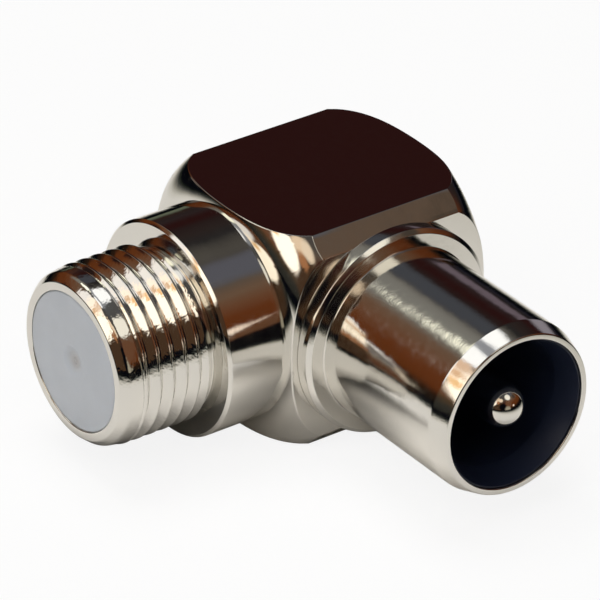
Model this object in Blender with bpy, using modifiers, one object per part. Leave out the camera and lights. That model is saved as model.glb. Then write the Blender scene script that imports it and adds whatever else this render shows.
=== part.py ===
"""Right-angle coax adapter: a threaded female port on one side, a push-on aerial plug on the other.

Metres, +Z up. The two axes cross in the middle of the body. The plug points along +X and the port
along -Y. The origin is on the body's bottom flat, straight under the crossing.
"""

import math

import bpy

MM = 0.001

# Driving sizes, in millimetres

ROUND_STEPS = 64            # facets around a large turned piece
FINE_STEPS = 32             # facets around a small turned piece
SEAT_GAP = 0.2              # gap left between two pieces that touch
OVERRUN = 1.0               # how far a cutter runs past the face that it opens

BAR_SIZE = 12.3             # the square bar, flat to flat
BAR_EDGE_CHAMFER = 0.95     # on the bar's four long edges
BAR_END = 6.2               # from the plug's axis to the turned front end of the bar
REAR_END = 6.32             # from the plug's axis to its turned rear end
END_ROUND_RADIUS = 2.9      # the lathe's round on both ends of the bar
END_FACE_RADIUS = 5.3       # flat disc that the round leaves on the bar's end

COLLAR_RADIUS = 5.83
COLLAR_LENGTH = 3.45
COLLAR_CHAMFER = 0.16

PORT_THREAD_RADIUS = 4.7625  # 3/8 inch over the crests
PORT_THREAD_PITCH = 0.79375  # 32 turns to the inch
PORT_THREAD_TURNS = 5.25
THREAD_DEPTH = 0.45
RELIEF_WIDTH = 0.3          # plain groove between thread and collar
LAND_LENGTH = 0.7           # smooth run in front of the first turn
LAND_DROP = 0.06            # how far the land lies under the crests
NOSE_CHAMFER_LENGTH = 0.45
NOSE_FACE_RADIUS = 4.22

PORT_BORE_RADIUS = 3.2
FACE_SEAT_RADIUS = 3.8      # wider bore at the nose, for the face insulator
FACE_INSULATOR_LENGTH = 2.4
FACE_DIMPLE_RADIUS = 0.85
FACE_DIMPLE_DEPTH = 0.3
WIRE_HOLE_RADIUS = 0.5
REAR_INSULATOR_LENGTH = 8.0

CONTACT_RADIUS = 1.15
CONTACT_BORE_RADIUS = 0.55
CONTACT_BORE_DEPTH = 5.0
CONTACT_SLOT_WIDTH = 0.35
CONTACT_SLOT_DEPTH = 4.2
CONTACT_COLLAR_RADIUS = 1.7
CONTACT_COLLAR_LENGTH = 1.0
CONTACT_TAIL_END = 1.5      # past the crossing, towards the rear cap

CAP_RADIUS = 3.8            # of the seat for the rear cap
CAP_THICKNESS = 1.0
CAP_EDGE_CHAMFER = 0.2

SPIGOT_SEAT_RADIUS = 4.0    # cross bore for the barrel's spigot
SPIGOT_LENGTH = 2.5
SPIGOT_BORE_RADIUS = 3.2
FLANGE_RADIUS = 5.75
FLANGE_THICKNESS = 0.75
FLANGE_CHAMFER = 0.22
BARREL_RADIUS = 4.75        # 9.5 mm push-on plug
BARREL_BORE_RADIUS = 4.13
BARREL_REACH = 9.7          # from the flange's front face to the rim
NOSE_TAPER_LENGTH = 1.05
RIM_RADIUS = 4.44
RIM_EDGE_ROUND = 0.06       # break on the rim's inner edge
BARREL_FLOOR = 0.55         # web between the wide bore and the flange's front face

CUP_WALL = 0.35
CUP_RIM_SETBACK = 0.15      # lining's front edge behind the barrel's rim
CUP_FLOOR_DEPTH = 7.0       # from the rim to the floor around the pin
CUP_BOSS_RADIUS = 2.0       # low boss on the floor, around the pin
CUP_BOSS_HEIGHT = 0.6

PIN_RADIUS = 1.17
PIN_TIP_SETBACK = 0.1       # tip behind the rim
PIN_SHOULDER_DEPTH = 10.2   # from the rim to the step down to the tail
PIN_TAIL_RADIUS = 0.5
PIN_TAIL_CHAMFER = 0.15

# Places that follow from those sizes

BAR_HALF = BAR_SIZE / 2
AXIS_HEIGHT = BAR_HALF
COLLAR_END = BAR_END + COLLAR_LENGTH
RELIEF_END = COLLAR_END + RELIEF_WIDTH
THREAD_END = RELIEF_END + PORT_THREAD_TURNS * PORT_THREAD_PITCH
LAND_END = THREAD_END + LAND_LENGTH
NOSE_END = LAND_END + NOSE_CHAMFER_LENGTH
LAND_RADIUS = PORT_THREAD_RADIUS - LAND_DROP
RELIEF_RADIUS = PORT_THREAD_RADIUS - THREAD_DEPTH

FACE_SEAT_END = NOSE_END - FACE_INSULATOR_LENGTH - SEAT_GAP
REAR_INSULATOR_FRONT = FACE_SEAT_END
REAR_INSULATOR_BACK = REAR_INSULATOR_FRONT - REAR_INSULATOR_LENGTH
CONTACT_FRONT = REAR_INSULATOR_FRONT

FLANGE_BACK = BAR_HALF + SEAT_GAP
FLANGE_FRONT = FLANGE_BACK + FLANGE_THICKNESS
RIM_END = FLANGE_FRONT + BARREL_REACH
SPIGOT_SEAT_FLOOR = FLANGE_BACK - SPIGOT_LENGTH - SEAT_GAP
BARREL_BORE_FLOOR = FLANGE_FRONT + BARREL_FLOOR
CUP_FLOOR = RIM_END - CUP_FLOOR_DEPTH
PIN_SHOULDER = RIM_END - PIN_SHOULDER_DEPTH
PIN_HOLE_RADIUS = PIN_RADIUS + SEAT_GAP
TAIL_HOLE_RADIUS = PIN_TAIL_RADIUS + SEAT_GAP

COLOURS = {
    "nickel": (0.78, 0.75, 0.70),
    "white_plastic": (0.72, 0.74, 0.77),
    "black_plastic": (0.012, 0.013, 0.017),
    "contact_plate": (0.80, 0.72, 0.52),
    "bead_plastic": (0.85, 0.85, 0.82),
}


def clear_scene():
    for old in list(bpy.data.objects):
        bpy.data.objects.remove(old)


def new_collection(name):
    collection = bpy.data.collections.new(name)
    bpy.context.scene.collection.children.link(collection)
    return collection


def make_material(name, colour, metallic, roughness):
    material = bpy.data.materials.new(name)
    material.use_nodes = True
    shader = material.node_tree.nodes["Principled BSDF"]
    shader.inputs["Base Color"].default_value = (*colour, 1.0)
    shader.inputs["Metallic"].default_value = metallic
    shader.inputs["Roughness"].default_value = roughness
    return material


def arc(centre_r, centre_h, radius, start, end, steps):
    """Points on an arc in the (radius, height) plane, angles in degrees from the +r direction."""
    points = []
    for step in range(steps + 1):
        angle = math.radians(start + (end - start) * step / steps)
        points.append((centre_r + radius * math.cos(angle), centre_h + radius * math.sin(angle)))
    return points


def turn(name, profile, steps, collection, material=None):
    """Revolve an outline of (radius, height) points in mm around +Z. It runs down its outer side."""
    mesh = bpy.data.meshes.new(name)
    points = [(radius * MM, 0.0, height * MM) for radius, height in profile]
    closed = profile[0][0] > 0.0
    edges = [(i, i + 1) for i in range(len(points) - 1)]
    if closed:
        edges.append((len(points) - 1, 0))
    mesh.from_pydata(points, edges, [])
    piece = bpy.data.objects.new(name, mesh)
    collection.objects.link(piece)
    screw = piece.modifiers.new("turn", "SCREW")
    screw.steps = steps
    screw.render_steps = steps
    screw.use_merge_vertices = True
    screw.merge_threshold = 0.00001
    if material:
        mesh.materials.append(material)
    return piece


def aim(piece, direction):
    """Lay a turned piece, made around +Z, along the plug's or the port's axis."""
    piece.location = (0.0, 0.0, AXIS_HEIGHT * MM)
    if direction == "plug":
        piece.rotation_euler = (0.0, math.radians(90.0), 0.0)
    if direction == "port":
        piece.rotation_euler = (math.radians(90.0), 0.0, 0.0)


def boolean(piece, cutter, operation):
    modifier = piece.modifiers.new(operation.lower() + "_" + cutter.name, "BOOLEAN")
    modifier.operation = operation
    modifier.object = cutter
    modifier.solver = "EXACT"


def mark_cutter(cutter):
    cutter.hide_render = True
    cutter.display_type = "WIRE"


def shade_round(piece, angle):
    """Bake the modifiers into a mesh of its own and smooth the round faces."""
    graph = bpy.context.evaluated_depsgraph_get()
    baked = bpy.data.meshes.new_from_object(piece.evaluated_get(graph))
    baked.name = piece.name
    piece.modifiers.clear()
    piece.data = baked
    baked.shade_smooth()
    baked.set_sharp_from_angle(angle=math.radians(angle))


def turned_envelope():
    """Outline of everything the lathe leaves of the bar, from its rear end to the nose."""
    corner = BAR_HALF * math.sqrt(2.0) + OVERRUN
    round_height = BAR_END - END_ROUND_RADIUS
    rear_height = REAR_END - END_ROUND_RADIUS
    outline = [(0.0, NOSE_END), (NOSE_FACE_RADIUS, NOSE_END), (LAND_RADIUS, LAND_END)]
    outline += [(LAND_RADIUS, THREAD_END), (PORT_THREAD_RADIUS, THREAD_END - LAND_DROP)]
    outline += [(PORT_THREAD_RADIUS, RELIEF_END), (RELIEF_RADIUS, RELIEF_END), (RELIEF_RADIUS, COLLAR_END)]
    outline += [(COLLAR_RADIUS - COLLAR_CHAMFER, COLLAR_END), (COLLAR_RADIUS, COLLAR_END - COLLAR_CHAMFER)]
    outline += [(COLLAR_RADIUS, BAR_END - round_drop(COLLAR_RADIUS))]
    start = math.degrees(math.acos((COLLAR_RADIUS - END_FACE_RADIUS) / END_ROUND_RADIUS))
    outline += arc(END_FACE_RADIUS, round_height, END_ROUND_RADIUS, start, 0.0, 10)[1:]
    outline += [(corner, round_height), (corner, -rear_height)]
    outline += arc(END_FACE_RADIUS, -rear_height, END_ROUND_RADIUS, 0.0, -90.0, 11)
    outline += [(0.0, -REAR_END)]
    return outline


def round_drop(radius):
    """How far the rounded end has fallen away from the bar's end plane at this radius."""
    across = max(radius - END_FACE_RADIUS, 0.0)
    return END_ROUND_RADIUS - math.sqrt(END_ROUND_RADIUS ** 2 - across ** 2)


def square_bar(cutters):
    """The bar as drawn stock: a cube stretched along the port's axis, its edges chamfered."""
    length = 2.0 * (NOSE_END + BAR_SIZE)
    bpy.ops.mesh.primitive_cube_add(size=1.0, location=(0.0, 0.0, AXIS_HEIGHT * MM))
    bar = bpy.context.object
    bar.name = "bar_stock"
    bar.scale = (BAR_SIZE * MM, length * MM, BAR_SIZE * MM)
    bpy.ops.object.transform_apply(location=False, rotation=False, scale=True)
    chamfer = bar.modifiers.new("edge_chamfer", "BEVEL")
    chamfer.width = BAR_EDGE_CHAMFER * MM
    chamfer.segments = 1
    chamfer.limit_method = "NONE"
    move_to(bar, cutters)
    mark_cutter(bar)
    return bar


def port_bore():
    """Outline of the through bore: face insulator's seat, plain bore, rear cap's seat."""
    cap_floor = REAR_END - CAP_THICKNESS - SEAT_GAP
    outline = [(0.0, NOSE_END + OVERRUN), (FACE_SEAT_RADIUS, NOSE_END + OVERRUN)]
    outline += [(FACE_SEAT_RADIUS, FACE_SEAT_END), (PORT_BORE_RADIUS, FACE_SEAT_END)]
    outline += [(PORT_BORE_RADIUS, -cap_floor), (CAP_RADIUS, -cap_floor)]
    outline += [(CAP_RADIUS, -REAR_END - OVERRUN), (0.0, -REAR_END - OVERRUN)]
    return outline


def cross_bore():
    """Outline of the bore for the barrel's spigot, narrower where it meets the through bore."""
    outline = [(0.0, BAR_HALF + OVERRUN), (SPIGOT_SEAT_RADIUS, BAR_HALF + OVERRUN)]
    outline += [(SPIGOT_SEAT_RADIUS, SPIGOT_SEAT_FLOOR)]
    outline += [(SPIGOT_BORE_RADIUS - SEAT_GAP, SPIGOT_SEAT_FLOOR), (SPIGOT_BORE_RADIUS - SEAT_GAP, 0.0)]
    outline += [(0.0, 0.0)]
    return outline


def make_body(parts, cutters, material):
    body = turn("body", turned_envelope(), ROUND_STEPS, parts, material)
    aim(body, "port")
    boolean(body, square_bar(cutters), "INTERSECT")
    bores = (("port_bore", port_bore(), "port"), ("cross_bore", cross_bore(), "plug"))
    for name, outline, direction in bores:
        bore = turn(name, outline, ROUND_STEPS, cutters)
        aim(bore, direction)
        mark_cutter(bore)
        boolean(body, bore, "DIFFERENCE")
    return body


def make_face_insulator(parts, material):
    radius = FACE_SEAT_RADIUS - SEAT_GAP
    back = NOSE_END - FACE_INSULATOR_LENGTH
    outline = [(WIRE_HOLE_RADIUS, NOSE_END - FACE_DIMPLE_DEPTH), (FACE_DIMPLE_RADIUS, NOSE_END)]
    outline += [(radius, NOSE_END), (radius, back), (WIRE_HOLE_RADIUS, back)]
    piece = turn("port_face_insulator", outline, ROUND_STEPS, parts, material)
    aim(piece, "port")
    return piece


def make_rear_insulator(parts, material):
    """Bead in the plain bore: a pocket in front for the contact's collar, a hole for its tail."""
    radius = PORT_BORE_RADIUS - SEAT_GAP
    pocket = CONTACT_COLLAR_RADIUS + SEAT_GAP
    pocket_floor = REAR_INSULATOR_FRONT - CONTACT_COLLAR_LENGTH - SEAT_GAP
    hole = CONTACT_RADIUS + SEAT_GAP
    outline = [(pocket, REAR_INSULATOR_FRONT), (radius, REAR_INSULATOR_FRONT)]
    outline += [(radius, REAR_INSULATOR_BACK), (hole, REAR_INSULATOR_BACK)]
    outline += [(hole, pocket_floor), (pocket, pocket_floor)]
    piece = turn("port_rear_insulator", outline, ROUND_STEPS, parts, material)
    aim(piece, "port")
    return piece


def make_spring_contact(parts, cutters, material):
    """Turned contact: a bored and slotted front that grips the wire, a tail with a cross hole."""
    bore_floor = CONTACT_FRONT - CONTACT_BORE_DEPTH
    collar_back = CONTACT_FRONT - CONTACT_COLLAR_LENGTH
    outline = [(CONTACT_BORE_RADIUS, CONTACT_FRONT), (CONTACT_COLLAR_RADIUS, CONTACT_FRONT)]
    outline += [(CONTACT_COLLAR_RADIUS, collar_back), (CONTACT_RADIUS, collar_back)]
    outline += [(CONTACT_RADIUS, -CONTACT_TAIL_END), (0.0, -CONTACT_TAIL_END)]
    outline = [(0.0, bore_floor), (CONTACT_BORE_RADIUS, bore_floor)] + outline
    piece = turn("port_spring_contact", outline, FINE_STEPS, parts, material)
    aim(piece, "port")
    slot_length = CONTACT_SLOT_DEPTH + OVERRUN
    slot_centre = -(CONTACT_FRONT + OVERRUN - slot_length / 2.0)
    slot_height = 2.0 * (CONTACT_COLLAR_RADIUS + OVERRUN)
    bpy.ops.mesh.primitive_cube_add(size=1.0, location=(0.0, slot_centre * MM, AXIS_HEIGHT * MM))
    slot = bpy.context.object
    slot.name = "contact_slot"
    slot.scale = (CONTACT_SLOT_WIDTH * MM, slot_length * MM, slot_height * MM)
    bpy.ops.object.transform_apply(location=False, rotation=False, scale=True)
    move_to(slot, cutters)
    mark_cutter(slot)
    boolean(piece, slot, "DIFFERENCE")
    reach = CONTACT_RADIUS + OVERRUN
    hole_outline = [(0.0, reach), (TAIL_HOLE_RADIUS, reach), (TAIL_HOLE_RADIUS, -reach), (0.0, -reach)]
    hole = turn("tail_hole", hole_outline, FINE_STEPS, cutters)
    aim(hole, "plug")
    mark_cutter(hole)
    boolean(piece, hole, "DIFFERENCE")
    return piece


def make_rear_cap(parts, material):
    radius = CAP_RADIUS - SEAT_GAP
    front = REAR_END - CAP_THICKNESS
    outline = [(0.0, -front), (radius, -front), (radius, -REAR_END + CAP_EDGE_CHAMFER)]
    outline += [(radius - CAP_EDGE_CHAMFER, -REAR_END), (0.0, -REAR_END)]
    piece = turn("rear_cap", outline, ROUND_STEPS, parts, material)
    aim(piece, "port")
    return piece


def make_barrel(parts, material):
    """Plug barrel in one turned piece: tapered nose, thin wall, base flange, spigot."""
    spigot = SPIGOT_SEAT_RADIUS - SEAT_GAP
    outline = [(BARREL_BORE_RADIUS + RIM_EDGE_ROUND, RIM_END), (RIM_RADIUS, RIM_END)]
    outline += [(BARREL_RADIUS, RIM_END - NOSE_TAPER_LENGTH), (BARREL_RADIUS, FLANGE_FRONT)]
    outline += [(FLANGE_RADIUS - FLANGE_CHAMFER, FLANGE_FRONT)]
    outline += [(FLANGE_RADIUS, FLANGE_FRONT - FLANGE_CHAMFER), (FLANGE_RADIUS, FLANGE_BACK)]
    outline += [(spigot, FLANGE_BACK), (spigot, FLANGE_BACK - SPIGOT_LENGTH)]
    outline += [(SPIGOT_BORE_RADIUS, FLANGE_BACK - SPIGOT_LENGTH), (SPIGOT_BORE_RADIUS, BARREL_BORE_FLOOR)]
    outline += [(BARREL_BORE_RADIUS, BARREL_BORE_FLOOR), (BARREL_BORE_RADIUS, RIM_END - RIM_EDGE_ROUND)]
    piece = turn("plug_barrel", outline, ROUND_STEPS, parts, material)
    aim(piece, "plug")
    return piece


def make_plug_insulator(parts, material):
    """Black moulded cup: thin lining, thick floor with a low boss, stepped tail in the spigot."""
    outer = BARREL_BORE_RADIUS - SEAT_GAP
    inner = outer - CUP_WALL
    tail = SPIGOT_BORE_RADIUS - SEAT_GAP
    seat = BARREL_BORE_FLOOR + SEAT_GAP
    back = FLANGE_BACK - SPIGOT_LENGTH
    front = RIM_END - CUP_RIM_SETBACK
    tail_hole = PIN_TAIL_RADIUS + SEAT_GAP
    outline = [(inner, front), (outer, front), (outer, seat), (tail, seat), (tail, back), (tail_hole, back)]
    outline += [(tail_hole, PIN_SHOULDER - SEAT_GAP), (PIN_HOLE_RADIUS, PIN_SHOULDER - SEAT_GAP)]
    outline += [(PIN_HOLE_RADIUS, CUP_FLOOR + CUP_BOSS_HEIGHT), (CUP_BOSS_RADIUS, CUP_FLOOR + CUP_BOSS_HEIGHT)]
    outline += [(CUP_BOSS_RADIUS, CUP_FLOOR), (inner, CUP_FLOOR)]
    piece = turn("plug_insulator", outline, ROUND_STEPS, parts, material)
    aim(piece, "plug")
    return piece


def make_pin(parts, material):
    """Centre pin: round tip, shank to the shoulder, thin tail through the contact's cross hole."""
    tip = RIM_END - PIN_TIP_SETBACK
    tail_end = -(CONTACT_RADIUS + SEAT_GAP)
    outline = arc(0.0, tip - PIN_RADIUS, PIN_RADIUS, 90.0, 0.0, 10)
    outline[0] = (0.0, tip)
    outline += [(PIN_RADIUS, PIN_SHOULDER), (PIN_TAIL_RADIUS, PIN_SHOULDER)]
    outline += [(PIN_TAIL_RADIUS, tail_end + PIN_TAIL_CHAMFER)]
    outline += [(PIN_TAIL_RADIUS - PIN_TAIL_CHAMFER, tail_end), (0.0, tail_end)]
    piece = turn("plug_pin", outline, FINE_STEPS, parts, material)
    aim(piece, "plug")
    return piece


def move_to(piece, collection):
    for owner in list(piece.users_collection):
        owner.objects.unlink(piece)
    collection.objects.link(piece)


def main():
    clear_scene()
    parts = new_collection("coax_adapter")
    cutters = new_collection("cutters")
    nickel = make_material("nickel", COLOURS["nickel"], 1.0, 0.15)
    barrel_nickel = make_material("barrel_nickel", COLOURS["nickel"], 1.0, 0.12)
    cap_nickel = make_material("cap_nickel", COLOURS["nickel"], 1.0, 0.2)
    pin_nickel = make_material("pin_nickel", COLOURS["nickel"], 1.0, 0.1)
    white = make_material("white_plastic", COLOURS["white_plastic"], 0.0, 0.4)
    black = make_material("black_plastic", COLOURS["black_plastic"], 0.0, 0.25)
    plate = make_material("contact_plate", COLOURS["contact_plate"], 1.0, 0.25)
    bead = make_material("bead_plastic", COLOURS["bead_plastic"], 0.0, 0.5)
    pieces = [
        make_body(parts, cutters, nickel),
        make_face_insulator(parts, white),
        make_rear_insulator(parts, bead),
        make_spring_contact(parts, cutters, plate),
        make_rear_cap(parts, cap_nickel),
        make_barrel(parts, barrel_nickel),
        make_plug_insulator(parts, black),
        make_pin(parts, pin_nickel),
    ]
    bpy.context.view_layer.update()
    for piece in pieces:
        shade_round(piece, 25.0)
    for cutter in list(cutters.objects):
        cutter.hide_set(True)


main()
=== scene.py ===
"""Looks of the right-angle coax adapter: bright nickel plating, white and black plastic, studio."""

import math

import bpy
from mathutils import Matrix, Vector


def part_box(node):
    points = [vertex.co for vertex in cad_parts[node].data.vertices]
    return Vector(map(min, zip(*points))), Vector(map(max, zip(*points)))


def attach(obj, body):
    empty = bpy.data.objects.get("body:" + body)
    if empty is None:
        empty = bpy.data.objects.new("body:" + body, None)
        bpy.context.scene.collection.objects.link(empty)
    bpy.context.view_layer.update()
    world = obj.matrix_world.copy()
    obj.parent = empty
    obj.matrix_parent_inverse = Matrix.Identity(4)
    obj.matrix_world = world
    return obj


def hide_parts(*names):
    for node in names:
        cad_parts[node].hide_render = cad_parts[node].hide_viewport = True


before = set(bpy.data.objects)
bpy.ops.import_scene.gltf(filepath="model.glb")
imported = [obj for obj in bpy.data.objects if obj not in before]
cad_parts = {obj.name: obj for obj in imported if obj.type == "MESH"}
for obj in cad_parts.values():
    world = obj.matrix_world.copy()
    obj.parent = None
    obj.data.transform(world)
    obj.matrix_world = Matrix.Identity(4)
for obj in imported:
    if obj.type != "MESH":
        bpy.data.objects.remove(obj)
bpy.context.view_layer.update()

bl_info = {
    "name": "Coax adapter looks",
    "version": (1, 0, 0),
    "blender": (4, 5, 0),
    "location": "View3D > Sidebar > Coax adapter",
    "description": "Models and finishes a right-angle coax adapter around its packed solids",
    "category": "Object",
}

MM = 0.001
MERGE_DISTANCE = 0.0004 * MM

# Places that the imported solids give, in metres

BODY_LOW, BODY_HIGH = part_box("body")
BARREL_LOW, BARREL_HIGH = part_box("plug_barrel")
PIN_LOW, PIN_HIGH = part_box("plug_pin")
CUP_LOW, CUP_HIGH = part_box("plug_insulator")

AXIS_HEIGHT = (BODY_LOW.z + BODY_HIGH.z) / 2
BAR_HALF = (BODY_HIGH.z - BODY_LOW.z) / 2
REAR_END = BODY_HIGH.y
NOSE_END = -BODY_LOW.y
RIM_END = BARREL_HIGH.x
FLANGE_RADIUS = (BARREL_HIGH.z - BARREL_LOW.z) / 2
PIN_RADIUS = (PIN_HIGH.z - PIN_LOW.z) / 2
CAP_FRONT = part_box("rear_cap")[0].y

# Sizes inside those boxes, in metres, and the thread's turns and flank in degrees

BAR_END = 6.2 * MM
COLLAR_RADIUS = 5.83 * MM
COLLAR_CHAMFER = 0.16 * MM
COLLAR_END = BAR_END + 3.45 * MM
RELIEF_END = COLLAR_END + 0.3 * MM
THREAD_RADIUS = 4.7625 * MM
THREAD_PITCH = 0.79375 * MM
THREAD_TURNS = 5.25
THREAD_DEPTH = 0.40 * MM
THREAD_FLANK = 37.5
ROOT_RADIUS = THREAD_RADIUS - THREAD_DEPTH
THREAD_END = RELIEF_END + THREAD_TURNS * THREAD_PITCH
LAND_RADIUS = THREAD_RADIUS - 0.06 * MM
LAND_END = NOSE_END - 0.45 * MM
LAND_SLOPE = 0.155
NOSE_FACE_RADIUS = 4.22 * MM
PORT_BORE_RADIUS = 3.2 * MM
FACE_SEAT_END = NOSE_END - 2.6 * MM
END_ROUND = 2.9 * MM
END_FACE_RADIUS = 5.3 * MM
BAR_CHAMFER = 0.95 * MM
CAP_SEAT_RADIUS = 3.8 * MM
SPIGOT_SEAT_RADIUS = 4.0 * MM
SPIGOT_SEAT_FLOOR = 3.65 * MM
SPIGOT_RADIUS = 3.8 * MM
SPIGOT_BACK = 3.85 * MM
SPIGOT_BORE_RADIUS = 3.2 * MM
FLANGE_FRONT = 7.1 * MM
FLANGE_CHAMFER = 0.22 * MM
BARREL_RADIUS = 4.75 * MM
BARREL_BORE_RADIUS = 4.13 * MM
BARREL_BORE_FLOOR = 7.65 * MM
TAPER_START = RIM_END - 1.05 * MM
RIM_RADIUS = 4.44 * MM
CUP_BACK = CUP_LOW.x
CUP_FRONT = CUP_HIGH.x
CUP_FLOOR = 9.8 * MM
CUP_BOSS_RADIUS = 2.0 * MM
CUP_BOSS_HEIGHT = 0.6 * MM
CUP_TAIL_RADIUS = 3.0 * MM
PIN_SHOULDER = 6.6 * MM
PIN_TAIL_RADIUS = 0.5 * MM
PIN_TAIL_END = PIN_LOW.x

# Rows of points in the meshes: on a big round, on an eased edge, along a flat, around the thread

ROUND_ROWS = 20
EASE_ROWS = 4
FLAT_ROWS = 4
RIDGE_STEPS = 144

# Fine forms that only the looks have, in metres

RIDGE_SUNK = 0.12 * MM
RIDGE_FOOT = 0.02 * MM
RIDGE_FLARE = 0.03 * MM
RIDGE_CREST_ROUND = 0.05 * MM
RUN_OUT = 0.25 * MM
UNDER_LAND = 0.004 * MM
LINING_RADIUS = 3.62 * MM
LEAD_IN_LENGTH = 1.4 * MM
LEAD_IN_EDGE = 0.07 * MM
DISC_FACE = NOSE_END - 0.03 * MM
DISC_BACK = NOSE_END - 2.4 * MM
DISH_DEPTH = 0.16 * MM
WIRE_MARK_RADIUS = 0.14 * MM
WIRE_MARK_EDGE = 0.20 * MM
WIRE_MARK_DEPTH = 0.05 * MM
CAP_CHAMFER = 0.2 * MM
PIN_TAIL_CHAMFER = 0.15 * MM


def srgb(code):
    """Linear colour of an sRGB hex code such as D3CDBF."""
    levels = [int(code[i:i + 2], 16) / 255 for i in (0, 2, 4)]
    return tuple(v / 12.92 if v <= 0.04045 else ((v + 0.055) / 1.055) ** 2.4 for v in levels)


def length(name, description, default):
    return bpy.props.FloatProperty(name=name, description=description, default=default,
                                   unit="LENGTH", subtype="DISTANCE", precision=6)


def colour(name, description, code):
    return bpy.props.FloatVectorProperty(name=name, description=description, default=srgb(code),
                                         size=3, min=0.0, max=1.0, subtype="COLOR")


class AdapterSizes(bpy.types.PropertyGroup):
    edge_round: length("Edge round", "Round on the edges between flats and turned faces", 0.07 * MM)
    turned_round: length("Turned round", "Round on the edges of turned faces", 0.06 * MM)
    seam: length("Seam", "Dark line left between two pressed pieces", 0.02 * MM)
    thread_crest: length("Thread crest", "Width of the flat on top of the thread", 0.10 * MM)
    lip_radius: length("Nose lip", "Inside radius of the lip around the white disc", 3.76 * MM)
    dimple_radius: length("Dimple", "Radius of the shallow dish in the white disc", 0.85 * MM)


class AdapterColours(bpy.types.PropertyGroup):
    nickel: colour("Nickel", "Reflection of the bright nickel plating", "E4E2DD")
    polyethylene: colour("White plastic", "The milk-white insulator", "DADEE4")
    wire_mark: colour("Wire mark", "Trace in the middle of the white disc", "C4B4A0")
    moulding: colour("Black plastic", "The black moulded lining", "1C2234")
    contact: colour("Contact", "Plating of the hidden spring contact", "D9C58C")
    floor: colour("Floor", "The pale table", "EFEEEC")


# Working in Blender as by hand

def deselect():
    if bpy.context.object and bpy.context.object.mode != "OBJECT":
        bpy.ops.object.mode_set(mode="OBJECT")
    bpy.ops.object.select_all(action="DESELECT")


def make_active(piece):
    deselect()
    piece.select_set(True)
    bpy.context.view_layer.objects.active = piece


def apply_modifier(piece, kind, **settings):
    make_active(piece)
    modifier = piece.modifiers.new(kind.lower(), kind)
    for setting, value in settings.items():
        setattr(modifier, setting, value)
    bpy.ops.object.modifier_apply(modifier=modifier.name)


def combine(piece, tool, operation):
    """Join, cut or trim a piece with another solid, which is then used up."""
    apply_modifier(piece, "BOOLEAN", operation=operation, object=tool, solver="EXACT")
    bpy.data.objects.remove(tool)


def rounded(outline, facets=4):
    """Give each corner (radius, reach, round) of an outline the round that it names."""
    points = []
    count = len(outline)
    for index, (radius, reach, fillet) in enumerate(outline):
        corner = Vector((radius, reach))
        before = Vector(outline[index - 1][:2]) - corner
        after = Vector(outline[(index + 1) % count][:2]) - corner
        if fillet <= 0.0:
            points.append(corner)
            continue
        half = before.angle(after) / 2
        back = min(fillet / math.tan(half), 0.49 * before.length, 0.49 * after.length)
        size = back * math.tan(half)
        inward = (before.normalized() + after.normalized()).normalized()
        centre = corner + inward * (size / math.sin(half))
        start = corner + before.normalized() * back - centre
        turn = start.angle_signed(corner + after.normalized() * back - centre)
        for step in range(facets + 1):
            points.append(centre + Matrix.Rotation(-turn * step / facets, 2) @ start)
    return points


def arc(centre_radius, centre_reach, size, start, end, steps):
    """Points on an arc, angles in degrees from straight outwards towards the open end."""
    points = []
    for step in range(steps + 1):
        angle = math.radians(start + (end - start) * step / steps)
        points.append(Vector((centre_radius + size * math.cos(angle),
                              centre_reach + size * math.sin(angle))))
    return points


def along(direction, radius, reach):
    """Place of an outline point above the plug's or the port's axis."""
    if direction == "plug":
        return Vector((reach, 0.0, AXIS_HEIGHT + radius))
    return Vector((0.0, -reach, AXIS_HEIGHT + radius))


def draw_outline(name, places, closed):
    """A small plane merged to one vertex, which is then extruded from place to place."""
    deselect()
    bpy.ops.mesh.primitive_plane_add(size=MM, location=(0.0, 0.0, 0.0))
    piece = bpy.context.object
    piece.name = name
    piece.data.name = name
    bpy.ops.object.mode_set(mode="EDIT")
    bpy.ops.mesh.select_mode(type="VERT")
    bpy.ops.mesh.select_all(action="SELECT")
    bpy.ops.mesh.merge(type="CENTER")
    bpy.ops.transform.translate(value=places[0])
    for start, end in zip(places, places[1:]):
        bpy.ops.mesh.extrude_region_move(TRANSFORM_OT_translate={"value": end - start})
    if closed:
        bpy.ops.object.mode_set(mode="OBJECT")
        piece.data.vertices[0].select = True
        bpy.ops.object.mode_set(mode="EDIT")
        bpy.ops.mesh.edge_face_add()
    return piece


def lathe(name, outline, direction, steps=0, sectors=None):
    """Spin an outline of (radius, reach) points around the plug's or the port's axis.

    Sectors are (steps, degrees) pairs, for a piece that needs its columns at chosen places.
    """
    places = [along(direction, point[0], point[1]) for point in outline]
    piece = draw_outline(name, places, closed=outline[0][0] > 0.0)
    axis = (1.0, 0.0, 0.0) if direction == "plug" else (0.0, -1.0, 0.0)
    bpy.ops.mesh.select_all(action="SELECT")
    for count, degrees in sectors or [(steps, 360.0)]:
        bpy.ops.mesh.spin(steps=count, angle=math.radians(degrees),
                          center=(0.0, 0.0, AXIS_HEIGHT), axis=axis)
    tidy_mesh()
    return piece


def tidy_mesh():
    """Close the seam and the poles of the mesh in edit mode and turn its faces outwards."""
    bpy.ops.mesh.select_all(action="SELECT")
    bpy.ops.mesh.remove_doubles(threshold=MERGE_DISTANCE)
    bpy.ops.mesh.select_all(action="SELECT")
    bpy.ops.mesh.normals_make_consistent(inside=False)
    bpy.ops.object.mode_set(mode="OBJECT")


def smooth(piece, angle=35.0):
    make_active(piece)
    bpy.ops.object.shade_smooth_by_angle(angle=math.radians(angle))


def smooth_flats(piece):
    """Smooth a piece and keep its large faces flat up to the rounds on their edges."""
    smooth(piece)
    apply_modifier(piece, "WEIGHTED_NORMAL", mode="FACE_AREA_WITH_ANGLE", keep_sharp=True)


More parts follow.
